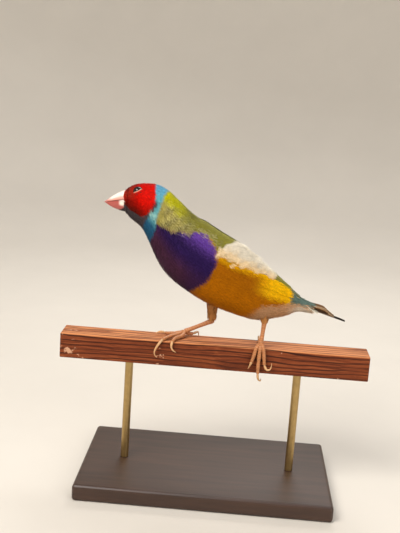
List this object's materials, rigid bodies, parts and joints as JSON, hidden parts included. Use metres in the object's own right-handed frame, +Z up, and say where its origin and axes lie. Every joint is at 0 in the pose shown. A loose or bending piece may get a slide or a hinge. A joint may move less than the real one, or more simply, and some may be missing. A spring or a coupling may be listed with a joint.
{
  "type": "gouldian finch model",
  "caption": "Life-size still model of a red-headed Gouldian finch leaning forward on a cut length of square wooden perch, on a plain display stand.",
  "frame": {"origin": "middle of the underside of the stand's base", "axes": "+Z up; the perch runs along X and the bird faces -X, with its left side towards -Y"},
  "size_m": [0.152, 0.076, 0.149],
  "materials": {
    "red_feather": "soft matt, short scarlet head feathers edged with black",
    "blue_feather": "soft matt, turquoise and black feathers of collar and throat",
    "breast_feather": "soft satin, violet breast, yellow and orange belly, green mantle",
    "green_feather": "satin, yellow-green wing feathers with brown quills",
    "tail_feather": "satin, dark brown tail feathers under turquoise and white coverts",
    "pale_feather": "soft matt, tan and white down",
    "bill_horn": "satin ivory horn with a coral tip",
    "leg_scale": "satin pinkish-orange scales",
    "eye": "wet gloss, near black",
    "perch_wood": "reddish-brown stain, worn, matt",
    "stand_base": "painted board, matt pale grey",
    "stand_rod": "brushed"
  },
  "bodies": {
    "root": {"head": "red_feather", "neck": "blue_feather", "torso": "breast_feather", "wing_left": "green_feather", "wing_right": "green_feather", "tail": "tail_feather", "bill_upper": "bill_horn", "bill_lower": "bill_horn", "eye_left": "eye", "eye_right": "eye", "thigh_left": "pale_feather", "thigh_right": "pale_feather", "shank_left": "leg_scale", "shank_right": "leg_scale", "foot_left": "leg_scale", "foot_right": "leg_scale", "perch": "perch_wood", "stand_rod_front": "stand_rod", "stand_rod_back": "stand_rod", "stand_base": "stand_base"}
  },
  "joints": []
}
